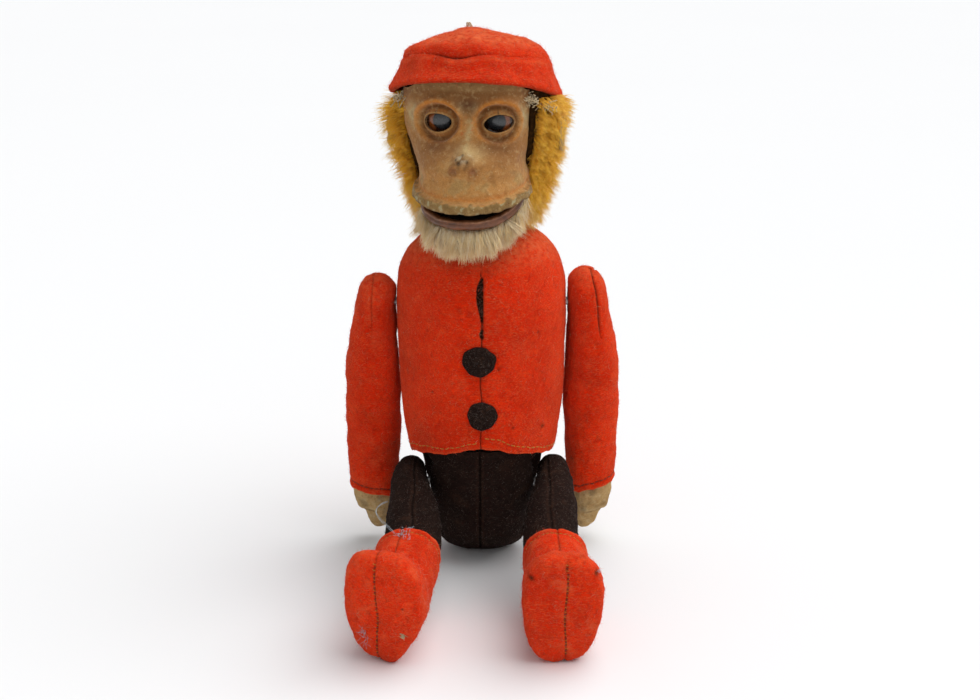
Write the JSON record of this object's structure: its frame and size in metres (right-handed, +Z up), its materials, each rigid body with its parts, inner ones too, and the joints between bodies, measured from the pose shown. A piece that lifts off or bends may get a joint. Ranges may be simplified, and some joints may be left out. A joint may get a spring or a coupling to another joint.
{
  "type": "seated clockwork monkey toy",
  "caption": "Seated felt monkey in a red bellhop suit with moving head, jaw, arms and legs and a clockwork motor wound by a key at the back.",
  "frame": {"origin": "a point on the flat seat that the body rests on, in the body's middle plane", "axes": "+Z up through the cap, -Y the way the body faces, +X the monkey's own left side"},
  "size_m": [0.1388, 0.19, 0.2718],
  "materials": {
    "red_felt": "matt felt with short fuzz",
    "brown_felt": "matt felt with short fuzz",
    "button_felt": "matt felt discs",
    "beige_felt": "matt felt",
    "mask_felt": "pressed and painted felt, worn",
    "lip_felt": "painted, satin",
    "gold_mohair": "long soft pile",
    "white_mohair": "long soft pile",
    "eye_glass": "clouded gloss",
    "tinplate": "plain tinplate, satin",
    "steel": "satin",
    "nickelled_steel": "worn nickel plating",
    "brass": "satin",
    "card": "matt pressed card",
    "linen_thread": "twisted thread"
  },
  "bodies": {
    "torso": {"jacket_left_front": "red_felt", "jacket_right_front": "red_felt", "jacket_back": "red_felt", "trousers_left": "brown_felt", "trousers_right": "brown_felt", "button_upper": "button_felt", "button_lower": "button_felt", "body_front": "tinplate", "body_back": "tinplate", "neck_ring": "brass", "motor_plate_front": "steel", "motor_plate_back": "steel", "motor_pillar_1": "steel", "motor_pillar_2": "steel", "motor_pillar_3": "steel", "mainspring": "steel"},
    "key_drive": {"key": "nickelled_steel", "winding_arbor": "steel", "ratchet_wheel": "steel", "click": "steel", "great_wheel": "brass"},
    "second_drive": {"second_arbor": "steel", "second_pinion": "brass", "second_wheel": "brass", "crank_disc": "brass"},
    "governor": {"governor_arbor": "steel", "governor_pinion": "brass", "governor_fan": "tinplate"},
    "head": {"neck_post": "steel", "head_fork": "steel", "head_shell": "tinplate", "head_plate": "tinplate", "face_mask": "mask_felt", "eye_left": "eye_glass", "eye_right": "eye_glass", "ear_left": "beige_felt", "ear_right": "beige_felt", "head_pelt": "gold_mohair", "cap": "red_felt", "cap_loop": "linen_thread", "jaw_pin": "steel"},
    "jaw": {"jaw_plate": "tinplate", "lower_lip": "lip_felt", "chin_pelt": "white_mohair"},
    "arm_left": {"sleeve_left": "red_felt", "hand_left": "beige_felt", "shoulder_pin_left": "steel", "shoulder_disc_left": "card"},
    "leg_left": {"trouser_leg_left": "brown_felt", "boot_left": "red_felt", "hip_pin_left": "steel", "hip_disc_left": "card"},
    "arm_right": {"sleeve_right": "red_felt", "hand_right": "beige_felt", "shoulder_pin_right": "steel", "shoulder_disc_right": "card"},
    "leg_right": {"trouser_leg_right": "brown_felt", "boot_right": "red_felt", "hip_pin_right": "steel", "hip_disc_right": "card"}
  },
  "joints": [
    {"name": "key_turn", "type": "hinge", "parent": "torso", "child": "key_drive", "pos_m": [0, 0, 0.092], "axis": [0, 1, 0], "continuous": true},
    {"name": "second_turn", "type": "hinge", "parent": "torso", "child": "second_drive", "pos_m": [0, 0, 0.11263], "axis": [0, 1, 0], "continuous": true},
    {"name": "governor_turn", "type": "hinge", "parent": "torso", "child": "governor", "pos_m": [-0.01688, 0, 0.11263], "axis": [0, 1, 0], "continuous": true},
    {"name": "head_turn", "type": "hinge", "parent": "torso", "child": "head", "pos_m": [-0.001, 0, 0.17], "axis": [0, 0, 1], "range_deg": [-26.6, 43.4]},
    {"name": "jaw_open", "type": "hinge", "parent": "head", "child": "jaw", "pos_m": [-0.00195, -0.00643, 0.192], "axis": [0.9893, -0.1461, 0], "range_deg": [-2.5, 12]},
    {"name": "shoulder_left", "type": "hinge", "parent": "torso", "child": "arm_left", "pos_m": [0.052, 0.002, 0.136], "axis": [0.9781, 0.2079, 0], "range_deg": [-110, 45]},
    {"name": "shoulder_right", "type": "hinge", "parent": "torso", "child": "arm_right", "pos_m": [-0.052, 0.002, 0.136], "axis": [0.9781, -0.2079, 0], "range_deg": [-110, 45]},
    {"name": "hip_left", "type": "hinge", "parent": "torso", "child": "leg_left", "pos_m": [0.0345, -0.012, 0.0455], "axis": [1, 0, 0], "range_deg": [-8, 76]},
    {"name": "hip_right", "type": "hinge", "parent": "torso", "child": "leg_right", "pos_m": [-0.0345, -0.012, 0.0455], "axis": [1, 0, 0], "range_deg": [-8, 76]}
  ],
  "couplings": [
    {"joint": "second_turn", "follows": "key_turn", "ratio": -4},
    {"joint": "governor_turn", "follows": "key_turn", "ratio": 16}
  ]
}
